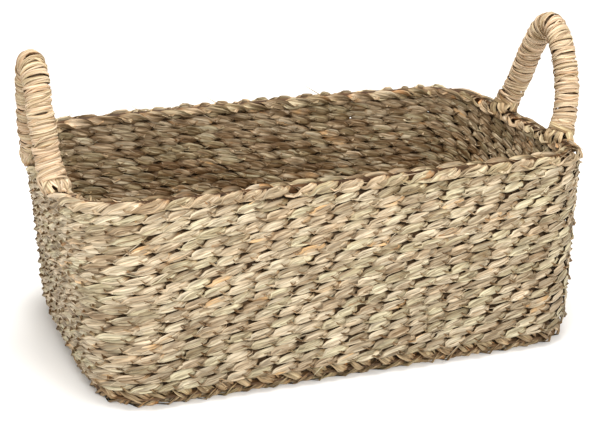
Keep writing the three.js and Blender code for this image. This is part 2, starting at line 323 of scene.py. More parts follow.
@dataclass(frozen=True)
class LeafSection:
    """The cross-section of a flattened bundle of leaf, as a closed curve to sweep."""

    half_width: float
    half_thickness: float
    ridges: tuple[Pair, ...] = (
        (1.0, 0.0), (0.62, 0.7), (-0.15, 0.85), (-1.0, 0.15), (-0.55, -0.7), (0.5, -0.7),
    )
    crisp_points: tuple[int, ...] = (0, 1, 2, 3, 4, 5)
    edge_shade: float = 0.3
    edge_narrowness: int = 3

    @property
    def girth(self) -> float:
        """The length round the section."""
        corners = np.array(self.ridges) * [self.half_width, self.half_thickness]
        return path_length(np.concatenate([corners, corners[:1]]))

    def shades(self) -> np.ndarray:
        """Returns how much each point of the section is shaded for lying at an edge."""
        return np.abs(np.array(self.ridges)[:, 0]) ** self.edge_narrowness * self.edge_shade

    def curve(self, name: str) -> bpy.types.Object:
        """Makes the flat curve that is swept along the strands.

        Args:
            name: The name of the curve.

        Returns:
            An unlinked curve object.
        """
        data = bpy.data.curves.new(name, "CURVE")
        data.dimensions = "2D"
        data.fill_mode = "NONE"
        spline = data.splines.new("POLY")
        spline.points.add(len(self.ridges) - 1)
        for point, (across, through) in zip(spline.points, self.ridges):
            point.co = (across * self.half_width, through * self.half_thickness, 0, 1)
        spline.use_cyclic_u = True
        return bpy.data.objects.new(name, data)


TWINE_RIDGES = (
    (1.0, 0.0), (0.72, 0.62), (0.42, 0.5), (0.16, 1.0), (-0.2, 0.82), (-0.42, 0.55), (-0.74, 0.74),
    (-1.0, 0.0), (-0.6, -0.7), (0.6, -0.7),
)
TWINE_CRISP_POINTS = (0, 3, 7)
FIBRE_RIDGES = ((1.0, 0.0), (0.0, 1.0), (-1.0, 0.0), (0.0, -1.0))
FIBRE_CRISP_POINTS = (0, 2)


def sweep_leaves(
    name: str,
    strands: list[Strand],
    section: LeafSection,
    loop_length: float | None = None,
) -> bpy.types.Object:
    """Sweeps a leaf section along strands and makes one mesh of them.

    Args:
        name: The name of the piece.
        strands: The strands, all with the same number of points.
        section: The section to sweep.
        loop_length: The length of strands that run round and join up, or none for loose ends.

    Returns:
        The piece, with its UV map in centimetres along and round each leaf, and an attribute with
        the marks of each point: its tone, its tint, how deep it is tucked with the section's edge shade
        added, which the leaf shader paints as shade, and the inner side.
    """
    shape = section.curve(f"{name}_section")
    data = bpy.data.curves.new(f"{name}_strands", "CURVE")
    data.dimensions = "3D"
    data.twist_mode = "Z_UP"
    data.bevel_mode = "OBJECT"
    data.bevel_object = shape
    for strand in strands:
        count = len(strand.points)
        spline = data.splines.new("POLY")
        spline.points.add(count - 1)
        spline.points.foreach_set("co", np.column_stack([strand.points, np.ones(count)]).ravel())
        spline.points.foreach_set("tilt", strand.tilt)
        spline.points.foreach_set("radius", strand.size)
        spline.use_cyclic_u = loop_length is not None
        spline.use_smooth = True
    runs = bpy.data.objects.new(f"{name}_strands", data)
    bpy.context.scene.collection.objects.link(shape)
    bpy.context.scene.collection.objects.link(runs)
    graph = bpy.context.evaluated_depsgraph_get()
    mesh = bpy.data.meshes.new_from_object(runs.evaluated_get(graph), depsgraph=graph)
    mesh.name = name
    lengths = [loop_length or path_length(strand.points) for strand in strands]
    mark_leaves(mesh, strands, section, lengths)
    bpy.data.objects.remove(runs)
    bpy.data.objects.remove(shape)
    piece = bpy.data.objects.new(name, mesh)
    bpy.context.scene.collection.objects.link(piece)
    face_outwards(mesh)
    crease_leaves(mesh, section)
    return piece


def mark_leaves(
    mesh: bpy.types.Mesh,
    strands: list[Strand],
    section: LeafSection,
    lengths: list[float],
) -> None:
    """Writes each leaf point's marks, and sets the UV map to centimetres along and round the leaf.

    Args:
        mesh: The swept mesh, whose points run section by section and strand by strand.
        strands: The strands that it was swept along.
        section: The section that was swept.
        lengths: The length of each strand.
    """
    around = len(section.ridges)
    count = len(strands[0].points)
    marks = np.concatenate([np.repeat(strand.marks, around, axis=0) for strand in strands])
    # The section's edge shade joins the depth, so the leaves' edges are painted in shade.
    marks[:, 2] = np.clip(marks[:, 2] + np.tile(section.shades(), count * len(strands)), 0, 1)
    attribute = mesh.attributes.new("leaf", "FLOAT_COLOR", "POINT")
    attribute.data.foreach_set("color", marks.astype(np.float32).ravel())
    corner = np.empty(len(mesh.loops), dtype=int)
    mesh.loops.foreach_get("vertex_index", corner)
    totals = np.empty(len(mesh.polygons), dtype=int)
    mesh.polygons.foreach_get("loop_total", totals)
    starts = np.concatenate([[0], np.cumsum(totals)[:-1]])
    strand_of = corner // (around * count)
    places = []
    for place, whole in ((corner // around % count, count), (corner % around, around)):
        last = np.repeat(np.maximum.reduceat(place, starts), totals)
        first = np.repeat(np.minimum.reduceat(place, starts), totals)
        wraps = (last == whole - 1) & (first == 0) & (place == 0)
        places.append(np.where(wraps, whole, place) / whole)
    uv = mesh.uv_layers[0] if mesh.uv_layers else mesh.uv_layers.new(name="UVMap")
    along = places[0] * np.array(lengths)[strand_of] * UV_PER_METRE
    across = places[1] * section.girth * UV_PER_METRE + strand_of * UV_BETWEEN_LEAVES
    uv.data.foreach_set("uv", np.column_stack([along, across]).ravel())


def face_outwards(mesh: bpy.types.Mesh) -> None:
    """Closes the open ends of a mesh, turns its faces outwards and smooths its shading.

    Args:
        mesh: The mesh to finish.
    """
    work = bmesh.new()
    work.from_mesh(mesh)
    loose_ends = [edge for edge in work.edges if edge.is_boundary]
    bmesh.ops.holes_fill(work, edges=loose_ends)
    bmesh.ops.recalc_face_normals(work, faces=work.faces)
    for face in work.faces:
        face.smooth = True
    work.to_mesh(mesh)
    work.free()


def crease_leaves(mesh: bpy.types.Mesh, section: LeafSection) -> None:
    """Marks the edges that run along the sides of the leaves as sharp.

    Args:
        mesh: The swept mesh, whose points run section by section.
        section: The section that was swept.
    """
    ends = np.empty(len(mesh.edges) * 2, dtype=int)
    mesh.edges.foreach_get("vertices", ends)
    ends = ends.reshape(-1, 2) % len(section.ridges)
    sharp = (ends[:, 0] == ends[:, 1]) & np.isin(ends[:, 0], section.crisp_points)
    mesh.edges.foreach_set("use_edge_sharp", sharp)


def press_to_floor(piece: bpy.types.Object) -> None:
    """Flattens what hangs below the floor against it.

    Args:
        piece: The piece that stands on the floor.
    """
    for vertex in piece.data.vertices:
        vertex.co.z = max(vertex.co.z, 0)


def join_pieces(pieces: list[bpy.types.Object]) -> bpy.types.Object:
    """Joins pieces into the first one, with their UV maps and marks.

    Args:
        pieces: The pieces, all with the same layers.

    Returns:
        The first piece, which holds the meshes of all of them.
    """
    with bpy.context.temp_override(active_object=pieces[0], selected_editable_objects=pieces):
        bpy.ops.object.join()
    return pieces[0]


@dataclass(frozen=True)
class Fraying:
    """The short split ends of leaf that stand away from a plait's surface."""

    count: int
    width: float = 1.0 * MM
    thickness: float = 0.35 * MM
    points: int = 6
    lengths: Pair = (7 * MM, 17 * MM)
    slopes: Pair = (-0.35, 0.75)
    lifts: Pair = (0.3 * MM, 2.6 * MM)
    tones: Pair = (0.2, 1)
    spread_across: float = 3.2 * MM
    sunk: float = 0.9 * MM
    tapered_by: float = 0.75
    inner_share: float = 0.3

    def end(self, guide: Guide, reach: float, rng: np.random.Generator) -> Strand:
        """Lays one split end on the outer or inner edge of a plait.

        Args:
            guide: The line that the plait follows.
            reach: How far the plait's surface lies from the line.
            rng: The source of random numbers.

        Returns:
            The run of the end, which tapers to its free tip.
        """
        place = int(rng.integers(len(guide.points)))
        side = -1 if rng.uniform() < self.inner_share else 1
        ahead = unit(guide.points[(place + 1) % len(guide.points)] - guide.points[place])
        t = np.linspace(0, 1, self.points)
        run = t * rng.uniform(*self.lengths) * rng.choice([-1, 1])
        climb = rng.uniform(-1, 1) * self.spread_across + run * rng.uniform(*self.slopes)
        out = reach - self.sunk + self.sunk * t + rng.uniform(*self.lifts) * t ** 2
        points = (guide.points[place] + ahead * run[:, None] + guide.face[place] * climb[:, None]
                  + guide.edge[place] * side * out[:, None])
        along = run_direction(points)
        facing = square_to(along, np.tile(guide.edge[place], (self.points, 1)))
        marks = [rng.uniform(*self.tones), rng.uniform(), 0.0, float(side < 0)]
        tilt = tilt_from_up(along, facing)
        return Strand(points, tilt, 1 - self.tapered_by * t, np.tile(marks, (self.points, 1)))

    def make(self, name: str, guide: Guide, reach: float, seed: int) -> bpy.types.Object:
        """Makes all the split ends of a plait.

        Args:
            name: The name of the piece.
            guide: The line that the plait follows.
            reach: How far the plait's surface lies from the line.
            seed: What the random numbers start from.

        Returns:
            The ends as one mesh.
        """
        rng = np.random.default_rng(seed)
        ends = [self.end(guide, reach, rng) for _ in range(self.count)]
        section = LeafSection(self.width / 2, self.thickness / 2, FIBRE_RIDGES, FIBRE_CRISP_POINTS, 0.0)
        return sweep_leaves(name, ends, section)


@dataclass(frozen=True)
class Stray:
    """How far the strands and leaves of a plait wander from their true places."""

    shared_phase: float = 0.42
    strand_phase: float = 0.16
    leaf_phase: float = 0.2
    strand_across: float = 0.5 * MM
    strand_through: float = 0.4 * MM
    slide: float = 0.9 * MM
    sliver_slide_share: float = 0.8
    lift: float = 0.6 * MM
    roll: float = 0.26
    size: float = 0.3
    tone: float = 0.3


@dataclass(frozen=True)
class Plait:
    """A flat plait of three strands, each of them several leaves side by side and a sliver on top."""

    width: float
    height: float
    stroke_pitch: float
    leaf_width: float
    leaf_thickness: float
    seed: int
    samples: int = 20
    fewest_turns: int = 3
    edge_hold: float = 0.22
    lead: float = 0.28
    flatness: float = 8.0
    most_turn: float = 0.95 * HALF_TURN / 2
    looseness: float = 1.0
    stray: Stray = Stray()
    leaves: int = 3
    overlap: float = 0.4
    fanned_roll: float = 0.2
    sliver_share: float = 0.3
    sliver_lift_share: float = 0.45
    slant: float = 1.0
    inner_slant: float = 0.6
    saw_shares: Pair = (0.4, 0.12)
    row_hold: float = math.inf
    row_turn: float = 0.75
    tuck_reach: float = 0.42
    tuck_margin: float = 0.03
    tucked_slide: float = 0.5
    tucked_size: float = 0.65
    darkest_tone: float = 0.02
    rust_chance: float = 0.004
    inner_reach: float = 0.45
    inner_blend: float = 0.2
    filled_at: tuple[float, ...] = (0.0,)
    filler_height_share: float = 0.8
    # The fed-in ends are marked as tucked all the way, so the leaf shader colours them as painted shade.
    filler_marks: tuple[float, float, float, float] = (0.3, 0.5, 1.0, 0.0)
    fraying: Fraying | None = None

    def turns_along(self, length: float) -> int:
        """Returns how often each strand crosses over and back along a length."""
        return max(self.fewest_turns, round(length / (STRANDS_IN_PLAIT * self.stroke_pitch)))

    def astray(self, rng: np.random.Generator, knots: int, count: int, reach: float) -> np.ndarray:
        """Returns a random run round the plait that strays as far as its looseness lets it."""
        return wander(rng, knots, count) * reach * self.looseness

    def trace(self, outline: Outline) -> tuple[np.ndarray, np.ndarray, float]:
        """Follows an outline with as many points as the plait needs.

        Args:
            outline: The outline of the plait's middle line.

        Returns:
            The points in plan, the directions outwards, and the length of the outline.
        """
        return outline.trace(self.turns_along(path_length(outline.path())) * self.samples)

    def make(self, name: str, guide: Guide) -> bpy.types.Object:
        """Plaits the strands along a guide.

        Args:
            name: The name of the piece.
            guide: The closed line to follow.

        Returns:
            The plait as one mesh.
        """
        rng = np.random.default_rng(self.seed)
        turns = self.turns_along(guide.length)
        count = len(guide.points)
        guide = guide.begun_at(int(rng.integers(count)))
        shared = self.astray(rng, turns, count, self.stray.shared_phase)
        start = rng.uniform(0, FULL_TURN)
        strands = []
        for number in range(STRANDS_IN_PLAIT):
            phase = FULL_TURN * (turns * np.arange(count) / count + number / STRANDS_IN_PLAIT)
            phase += start + shared
            phase += self.astray(rng, turns, count, self.stray.strand_phase)
            strands += self.leaves_of_strand(guide, phase, turns, rng)
        strands += [self.fed_in_ends(guide, share) for share in self.filled_at]
        section = LeafSection(self.leaf_width / 2, self.leaf_thickness / 2)
        piece = sweep_leaves(name, strands, section, guide.length)
        if self.fraying:
            ends = self.fraying.make(f"{name}_ends", guide, self.width / 2, self.seed)
            piece = join_pieces([piece, ends])
        return piece

    def fed_in_ends(self, guide: Guide, share: float) -> Strand:
        """Lays the ends of the leaves that were fed in, which fill the gaps of the plait.

        Args:
            guide: The line that the plait follows.
            share: Where they lie across the plait, from nought in the middle to half at an edge.

        Returns:
            One run along the plait, on edge across its thickness.
        """
        count = len(guide.points)
        size = np.full(count, self.height / self.leaf_width * self.filler_height_share)
        points = guide.points + guide.edge * (share * self.width)
        tilt = tilt_from_up(loop_direction(guide.points), guide.edge)
        # Marked fully tucked, so the run takes painted shade.
        return Strand(points, tilt, size, np.tile(self.filler_marks, (count, 1)))

    def leaves_of_strand(
        self,
        guide: Guide,
        phase: np.ndarray,
        turns: int,
        rng: np.random.Generator,
    ) -> list[Strand]:
        """Lays the leaves of one strand.

        Args:
            guide: The line that the plait follows.
            phase: Where in its crossing the strand is, at each point of the guide.
            turns: How often the strand crosses from edge to edge and back.
            rng: The source of random numbers.

        Returns:
            One run for each leaf of the strand.
        """
        count = len(phase)
        stroke = np.floor(phase / HALF_TURN).astype(int) % (2 * turns)
        tones = rng.uniform(0, 1, (2 * turns, 2))
        across = self.astray(rng, turns * 2, count, self.stray.strand_across)
        through = self.astray(rng, turns * 2, count, self.stray.strand_through)
        shift = guide.edge * across[:, None] + guide.face * through[:, None]
        runs = []
        for leaf in range(self.leaves + 1):
            own = phase + self.astray(rng, turns * 2, count, self.stray.leaf_phase)
            points, tilt, size = self.leaf_run(guide, own, shift, leaf, rng)
            marks = self.leaf_marks(own, stroke, tones, rng)
            runs.append(Strand(points, tilt, size, marks))
        return runs

    def leaf_run(
        self,
        guide: Guide,
        phase: np.ndarray,
        shift: np.ndarray,
        leaf: int,
        rng: np.random.Generator,
    ) -> tuple[np.ndarray, np.ndarray, np.ndarray]:
        """Lays one leaf of a strand.

        Args:
            guide: The line that the plait follows.
            phase: Where in its crossing the leaf is, at each point of the guide.
            shift: How far the strand lies from its true place at each point.
            leaf: The leaf's number across the strand. The last one is the sliver.
            rng: The source of random numbers.

        Returns:
            The leaf's points, tilts and sizes.
        """
        turns = self.turns_along(guide.length)
        is_sliver = leaf == self.leaves
        centre = self.strand_middle(guide, phase) + shift
        along = loop_direction(centre)
        cosine = np.cos(phase)
        turn = self.most_turn * np.sign(cosine) * np.abs(cosine) ** self.flatness
        facing = guide.turned_face(turn, along)
        offset = 0 if is_sliver else (leaf - (self.leaves - 1) / 2) * self.leaf_width * self.overlap
        fullness = ease(self.shown(phase, self.tuck_margin))
        reach = self.leaf_width * self.stray.sliver_slide_share if is_sliver else self.stray.slide
        reaches = (reach, self.stray.lift, self.stray.roll)
        slide, lift, roll = (self.astray(rng, turns * 3, len(phase), way) for way in reaches)
        slide += offset * lerp(self.tucked_slide, 1, fullness)
        lift += self.leaf_thickness * self.sliver_lift_share if is_sliver else 0
        roll += offset / self.leaf_width * self.fanned_roll
        points = centre + np.cross(along, facing) * slide[:, None] + facing * lift[:, None]
        if math.isfinite(self.row_hold):
            points, turn = self.held_in_row(guide, phase, points, turn)
            along = loop_direction(points)
            facing = guide.turned_face(turn, along)
        size = 1 + self.stray.size * wander(rng, turns * 2, len(phase))
        size *= lerp(self.tucked_size, 1, fullness) * (self.sliver_share if is_sliver else 1)
        return points, tilt_from_up(along, facing) + roll, size

    def strand_middle(self, guide: Guide, phase: np.ndarray) -> np.ndarray:
        """Returns the true place of a strand's middle.

        Args:
            guide: The line that the plait follows.
            phase: Where in its crossing the strand is, at each point of the guide.

        Returns:
            The points of the middle.
        """
        sine, cosine = np.sin(phase + self.lead), np.cos(phase + self.lead)
        hold = np.sqrt(sine ** 2 + (self.edge_hold * cosine) ** 2)
        across = -(self.width - self.leaf_thickness) / 2 * sine / hold
        second, third = self.saw_shares
        saw = np.sin(2 * phase) + second * np.sin(4 * phase) + third * np.sin(6 * phase)
        climb = self.slant * np.where(np.sin(phase) > 0, self.inner_slant, 1)
        through = -(self.height - self.leaf_thickness) / 2 * climb * saw
        return guide.points + guide.edge * across[:, None] + guide.face * through[:, None]

    def held_in_row(
        self,
        guide: Guide,
        phase: np.ndarray,
        points: np.ndarray,
        turn: np.ndarray,
    ) -> tuple[np.ndarray, np.ndarray]:
        """Keeps a leaf inside its own row, and turns it over where the row above or below stops it.

        Args:
            guide: The line that the plait follows.
            phase: Where in its crossing the leaf is, at each point of the guide.
            points: The leaf's points.
            turn: How far the leaf's face is turned at each point.

        Returns:
            The points and turns as the neighbouring rows leave them.
        """
        risen = ((points - guide.points) * guide.face).sum(axis=1)
        share = np.tanh(risen / self.row_hold)
        held = points + guide.face * (share * self.row_hold - risen)[:, None]
        side = np.where(np.sin(phase) > 0, -1, 1)
        return held, turn + self.row_turn * share ** 3 * (1 - np.abs(np.cos(phase))) * side

    def shown(self, phase: np.ndarray, margin: float = 0.0) -> np.ndarray:
        """Returns how much of a leaf shows, from nought where it is tucked under to one."""
        return np.clip((np.abs(np.sin(phase + self.lead)) + margin) / self.tuck_reach, 0, 1)

    def leaf_marks(
        self,
        phase: np.ndarray,
        stroke: np.ndarray,
        tones: np.ndarray,
        rng: np.random.Generator,
    ) -> np.ndarray:
        """Gives a leaf its colours, stroke by stroke.

        Args:
            phase: Where in its crossing the leaf is, at each point of the guide.
            stroke: Which of the strand's strokes each point belongs to.
            tones: The tone and tint of each stroke of the strand.
            rng: The source of random numbers.

        Returns:
            The tone, tint, depth and inner side at each point.
        """
        own = tones + rng.uniform(-self.stray.tone, self.stray.tone, tones.shape)
        own = np.clip(own, self.darkest_tone, 1)
        own[rng.uniform(size=len(tones)) < self.rust_chance, 0] = 0
        inner = np.clip((np.sin(phase) + self.inner_reach) / self.inner_blend, 0, 1)
        # The depth where the leaf is tucked under becomes painted shade in the leaf shader.
        return np.column_stack([own[stroke], 1 - self.shown(phase), inner])


Socket = bpy.types.NodeSocket
Fed = dict[int | str, Socket | float | tuple[float, ...]]


@dataclass(frozen=True)
class Sketch:
    """A shader tree to which nodes are added, each fed as it is made."""

    tree: bpy.types.NodeTree

    def feed(self, socket: Socket, value: Socket | float | tuple[float, ...]) -> None:
        """Links a value into a socket, or sets it there if it is plain.

        Args:
            socket: The socket to feed.
            value: What goes into it.
        """
        if isinstance(value, Socket):
            self.tree.links.new(value, socket)
        else:
            socket.default_value = value

    def add(self, kind: str, fed: Fed | None = None, **options: object) -> bpy.types.Node:
        """Adds a node to the tree.

        Args:
            kind: Blender's name for the node.
            fed: What goes into the node's inputs, by name or number.
            options: The node's options by name.

        Returns:
            The new node.
        """
        node = self.tree.nodes.new(kind)
        for name, option in options.items():
            setattr(node, name, option)
        for key, value in (fed or {}).items():
            self.feed(node.inputs[key], value)
        return node

    def mix(self, factor: Socket | float, first: Socket | Colour, second: Socket | Colour,
            how: str = "MIX") -> Socket:
        """Mixes two colours.

        Args:
            factor: How much of the second colour to take.
            first: The first colour.
            second: The second colour.
            how: The way of mixing.

        Returns:
            The mixed colour's socket.
        """
        first, second = (part if isinstance(part, Socket) else (*part, 1) for part in (first, second))
        fed = {0: factor, 6: first, 7: second}
        return self.add("ShaderNodeMix", fed, data_type="RGBA", blend_type=how).outputs[2]

    def stain(self, factor: Socket | float, colour: Socket, stain: Socket | Colour) -> Socket:
        """Returns a colour multiplied by a stain, as strongly as the factor says."""
        return self.mix(factor, colour, stain, "MULTIPLY")

    def spread(self, value: Socket, seen: Pair, made: Pair = (0.0, 1.0)) -> Socket:
        """Returns a value stretched from one range to another, and held at the ends."""
        fed = {"Value": value, "From Min": seen[0], "From Max": seen[1], "To Min": made[0], "To Max": made[1]}
        return self.add("ShaderNodeMapRange", fed, clamp=True).outputs["Result"]

    def compute(self, operation: str, first: Socket | float, second: Socket | float) -> Socket:
        """Returns what an operation makes of two values."""
        return self.add("ShaderNodeMath", {0: first, 1: second}, operation=operation).outputs[0]

    def fibres(self, along: Socket, across: Socket, seed: Socket, fineness: Pair) -> Socket:
        """Adds a noise that is drawn out along the fibres of a leaf.

        Args:
            along: The place along the leaf, in centimetres.
            across: The place round the leaf, in centimetres.
            seed: A value of each stroke's own.
            fineness: How fine the noise is along and across the leaf.

        Returns:
            The noise's socket.
        """
        seed_spacing = 31.0
        place = self.add("ShaderNodeCombineXYZ", {
            0: self.compute("MULTIPLY", along, fineness[0]),
            1: self.compute("MULTIPLY", across, fineness[1]),
            2: self.compute("MULTIPLY", seed, seed_spacing),
        })
        fed = {"Scale": 1.0, "Detail": 2.0, "Vector": place.outputs[0]}
        return self.add("ShaderNodeTexNoise", fed, noise_dimensions="3D").outputs["Fac"]


@dataclass(frozen=True)
class LeafShading:
    """The node group that colours a leaf from its marks.

    The pairs of fibres and patches say how fine a noise is along and across the leaf, and the height
    shares are those of the broad and fine fibres. Every other pair is the two ends of a range.
    """

    name: str = "seagrass leaf"
    broad_fibres: Pair = (0.4, 4.5)
    fine_fibres: Pair = (0.6, 11.0)
    patches: Pair = (0.8, 0.9)
    tone_light: Pair = (-0.22, 0.2)
    broad_seen: Pair = (0.25, 0.75)
    patch_seen: Pair = (0.3, 0.7)
    patch_light: Pair = (-0.2, 0.2)
    middle_from: Pair = (0.0, 0.6)
    pale_from: Pair = (0.5, 1.15)
    olive: Colour = (0.87, 0.95, 0.8)
    olive_from: Pair = (1.0, 1.45)
    warm: Colour = (1.0, 0.88, 0.79)
    warm_from: Pair = (0.05, 0.5)
    tint_strength: Pair = (0.0, 0.5)
    amber: Colour = (1.0, 0.8, 0.56)
    amber_below: float = 0.04
    amber_tones: Pair = (0.65, 0.8)
    firm_patches: Pair = (0.4, 0.6)
    rust_patches: Pair = (0.42, 0.6)
    fine_seen: Pair = (0.36, 0.6)
    streaks: Pair = (0.64, 1.14)
    # Painted light and shade by height: the leaves are darker low on the basket and lighter high up.
    painted_height_shade_levels: Pair = (0.02, 0.165)
    painted_height_shade: Pair = (0.88, 1.08)
    # Painted shade: a brown stain where a leaf is tucked under its neighbours and along its edges, broken up
    # by broad patches.
    tucked_brown_shade: Colour = (0.78, 0.62, 0.46)
    tucked_brown_shade_depths: Pair = (0.1, 0.5)
    tucked_brown_shade_strength: Pair = (0.2, 1.0)
    shaded: Colour = (0.22, 0.13, 0.06)
    shaded_depths: Pair = (0.6, 1.0)
    # The inner side of the wall is stained browner, and the stain deepens lower down and on darker leaves as
    # painted shade.
    inner: Colour = (0.5, 0.35, 0.19)
    inner_levels: Pair = (0.05, 0.165)
    inner_low_and_high: Pair = (1.5, 0.7)
    inner_lights: Pair = (0.2, 0.95)
    inner_deep_and_pale: Pair = (1.35, 0.35)
    height_shares: Pair = (0.6, 0.4)

    def group(self) -> bpy.types.NodeTree:
        """Makes the group the first time that it is asked for.

        Returns:
            The group's tree.
        """
        existing = bpy.data.node_groups.get(self.name)
        if existing:
            return existing
        tree = bpy.data.node_groups.new(self.name, "ShaderNodeTree")
        sockets = [(name, "INPUT", "Color") for name in ("Pale", "Middle", "Deep", "Rust")]
        sockets += [(name, "INPUT", "Float") for name in ("Rust share", "Inner shade", "Tuck shade")]
        sockets += [("Colour", "OUTPUT", "Color"), ("Height", "OUTPUT", "Float")]
        for name, side, kind in sockets:
            tree.interface.new_socket(name, in_out=side, socket_type=f"NodeSocket{kind}")
        self.draw(Sketch(tree))
        return tree

    def draw(self, sketch: Sketch) -> None:
        """Draws the group's nodes.

        Args:
            sketch: The group's tree.
        """
        add, spread, compute = sketch.add, sketch.spread, sketch.compute
        given = add("NodeGroupInput").outputs
        marks = add("ShaderNodeAttribute", attribute_name="leaf").outputs
        tone, tint, tucked = add("ShaderNodeSeparateColor", {0: marks["Color"]}).outputs
        place = add("ShaderNodeSeparateXYZ", {0: add("ShaderNodeUVMap").outputs[0]}).outputs
        where = add("ShaderNodeTexCoord").outputs["Object"]
        level = add("ShaderNodeSeparateXYZ", {0: where}).outputs[2]
        broad = sketch.fibres(place[0], place[1], tone, self.broad_fibres)
        fine = sketch.fibres(place[0], place[1], tint, self.fine_fibres)
        patch = sketch.fibres(place[0], place[1], tint, self.patches)
        light = compute("ADD", spread(tone, (0, 1), self.tone_light), spread(broad, self.broad_seen))
        light = compute("ADD", light, spread(patch, self.patch_seen, self.patch_light))
        colour = sketch.mix(spread(light, self.middle_from), given["Deep"], given["Middle"])
        colour = sketch.mix(spread(light, self.pale_from), colour, given["Pale"])
        colour = self.tinted(sketch, colour, tone, tint, patch)
        is_rust = compute("GREATER_THAN", given["Rust share"], tone)
        rust = compute("MULTIPLY", is_rust, spread(patch, self.rust_patches))
        colour = sketch.mix(rust, colour, given["Rust"])
        # Painted light and shade by height, multiplied into the fibre streaks: darker low down, lighter high
        # up.
        painted_height_shade = spread(level, self.painted_height_shade_levels, self.painted_height_shade)
        streak = compute("MULTIPLY", spread(fine, self.fine_seen, self.streaks), painted_height_shade)
        grey = add("ShaderNodeCombineColor", {0: streak, 1: streak, 2: streak}).outputs[0]
        colour = sketch.stain(1.0, colour, grey)
        # Painted shade: brown where the leaf is tucked under its neighbours and at its edges, in patches.
        brown_shade_patches = spread(patch, self.firm_patches, self.tucked_brown_shade_strength)
        tucked_brown_shade = compute("MULTIPLY", spread(tucked, self.tucked_brown_shade_depths), brown_shade_patches)
        colour = sketch.stain(tucked_brown_shade, colour, self.tucked_brown_shade)
        shade = compute("MULTIPLY", spread(tucked, self.shaded_depths), given["Tuck shade"])
        colour = sketch.stain(shade, colour, self.shaded)
        # Painted shade inside the basket: a brown stain on the inner side, strongest low down and on the
        # darker leaves.
        depth = spread(level, self.inner_levels, self.inner_low_and_high)
        painted_inner_shade = compute("MULTIPLY", depth, spread(light, self.inner_lights, self.inner_deep_and_pale))
        inside = compute("MULTIPLY", compute("MULTIPLY", marks["Alpha"], painted_inner_shade), given["Inner shade"])
        colour = sketch.stain(inside, colour, self.inner)
        heights = [compute("MULTIPLY", *pair) for pair in zip((broad, fine), self.height_shares)]
        add("NodeGroupOutput", {"Colour": colour, "Height": compute("ADD", *heights)})

    def tinted(self, sketch: Sketch, colour: Socket, tone: Socket, tint: Socket, patch: Socket) -> Socket:
        """Stains some leaves olive, some pink and a few amber.

        Args:
            sketch: The group's tree.
            colour: The colour so far.
            tone: How light each stroke is.
            tint: A value of each stroke's own.
            patch: A noise of broad patches.

        Returns:
            The stained colour.
        """
        spread, compute = sketch.spread, sketch.compute
        olive = spread(compute("ADD", tint, patch), self.olive_from, self.tint_strength)
        colour = sketch.stain(olive, colour, self.olive)
        warm = spread(compute("SUBTRACT", patch, tint), self.warm_from, self.tint_strength)
        colour = sketch.stain(warm, colour, self.warm)
        is_amber = compute("LESS_THAN", tint, self.amber_below)
        amber = compute("MULTIPLY", is_amber, spread(patch, self.firm_patches))
        amber = compute("MULTIPLY", amber, spread(tone, self.amber_tones))
        return sketch.stain(amber, colour, self.amber)


def start_material(name: str) -> tuple[bpy.types.Material, Sketch, bpy.types.Node]:
    """Starts a material with nodes.

    Args:
        name: The material's name.

    Returns:
        The material, its tree, and its shader.
    """
    material = bpy.data.materials.new(name)
    material.use_nodes = True
    return material, Sketch(material.node_tree), material.node_tree.nodes["Principled BSDF"]


@dataclass(frozen=True)
class SeagrassFinish:
    """Dry seagrass leaf, with its fibres along the strand and a colour of its own for each stroke."""

    name: str
    pale: Colour
    middle: Colour
    deep: Colour
    rust: Colour = (0.38, 0.2, 0.08)
    rust_share: float = 0.01
    inner_shade: float = 0.6
    tuck_shade: float = 0.8
    roughness: float = 0.6
    specular: float = 0.35
    bump: float = 0.8
    bump_depth: float = 0.5 * MM

    def material(self) -> bpy.types.Material:
        """Makes the material the first time that it is asked for.

        Returns:
            The material.
        """
        existing = bpy.data.materials.get(self.name)
        if existing:
            return existing
        material, sketch, shader = start_material(self.name)
        colours = {"Pale": self.pale, "Middle": self.middle, "Deep": self.deep, "Rust": self.rust}
        fed = {socket: (*colour, 1) for socket, colour in colours.items()}
        fed |= {"Rust share": self.rust_share, "Inner shade": self.inner_shade, "Tuck shade": self.tuck_shade}
        leaf = sketch.add("ShaderNodeGroup", fed, node_tree=LeafShading().group())
        fed = {"Strength": self.bump, "Distance": self.bump_depth, "Height": leaf.outputs["Height"]}
        bump = sketch.add("ShaderNodeBump", fed)
        sketch.feed(shader.inputs["Normal"], bump.outputs["Normal"])
        sketch.feed(shader.inputs["Base Color"], leaf.outputs["Colour"])
        shader.inputs["Roughness"].default_value = self.roughness
        shader.inputs["Specular IOR Level"].default_value = self.specular
        return material


WALL_FINISH = SeagrassFinish(
    name="wall seagrass",
    pale=(0.73, 0.64, 0.475),
    middle=(0.48, 0.395, 0.27),
    deep=(0.2, 0.135, 0.07),
)
RIM_FINISH = replace(
    WALL_FINISH,
    name="rim seagrass",
    pale=(0.68, 0.57, 0.42),
    middle=(0.41, 0.325, 0.21),
    inner_shade=0.4,
    tuck_shade=0.95,
)
BORDER_FINISH = replace(
    WALL_FINISH,
    name="border seagrass",
    pale=(0.64, 0.5, 0.32),
    middle=(0.42, 0.315, 0.18),
    deep=(0.18, 0.115, 0.055),
    inner_shade=0.1,
)
BASE_FINISH = replace(WALL_FINISH, name="base seagrass", inner_shade=0.0)
TWINE_FINISH = replace(
    WALL_FINISH,
    name="handle twine",
    pale=(0.71, 0.565, 0.41),
    middle=(0.54, 0.415, 0.28),
    deep=(0.33, 0.22, 0.12),
    rust_share=0.0,
    inner_shade=0.0,
    tuck_shade=0.5,
)
LASHING_FINISH = replace(
    BORDER_FINISH,
    name="lashing seagrass",
    rust_share=0.0,
    inner_shade=0.0,
    tuck_shade=0.6,
)


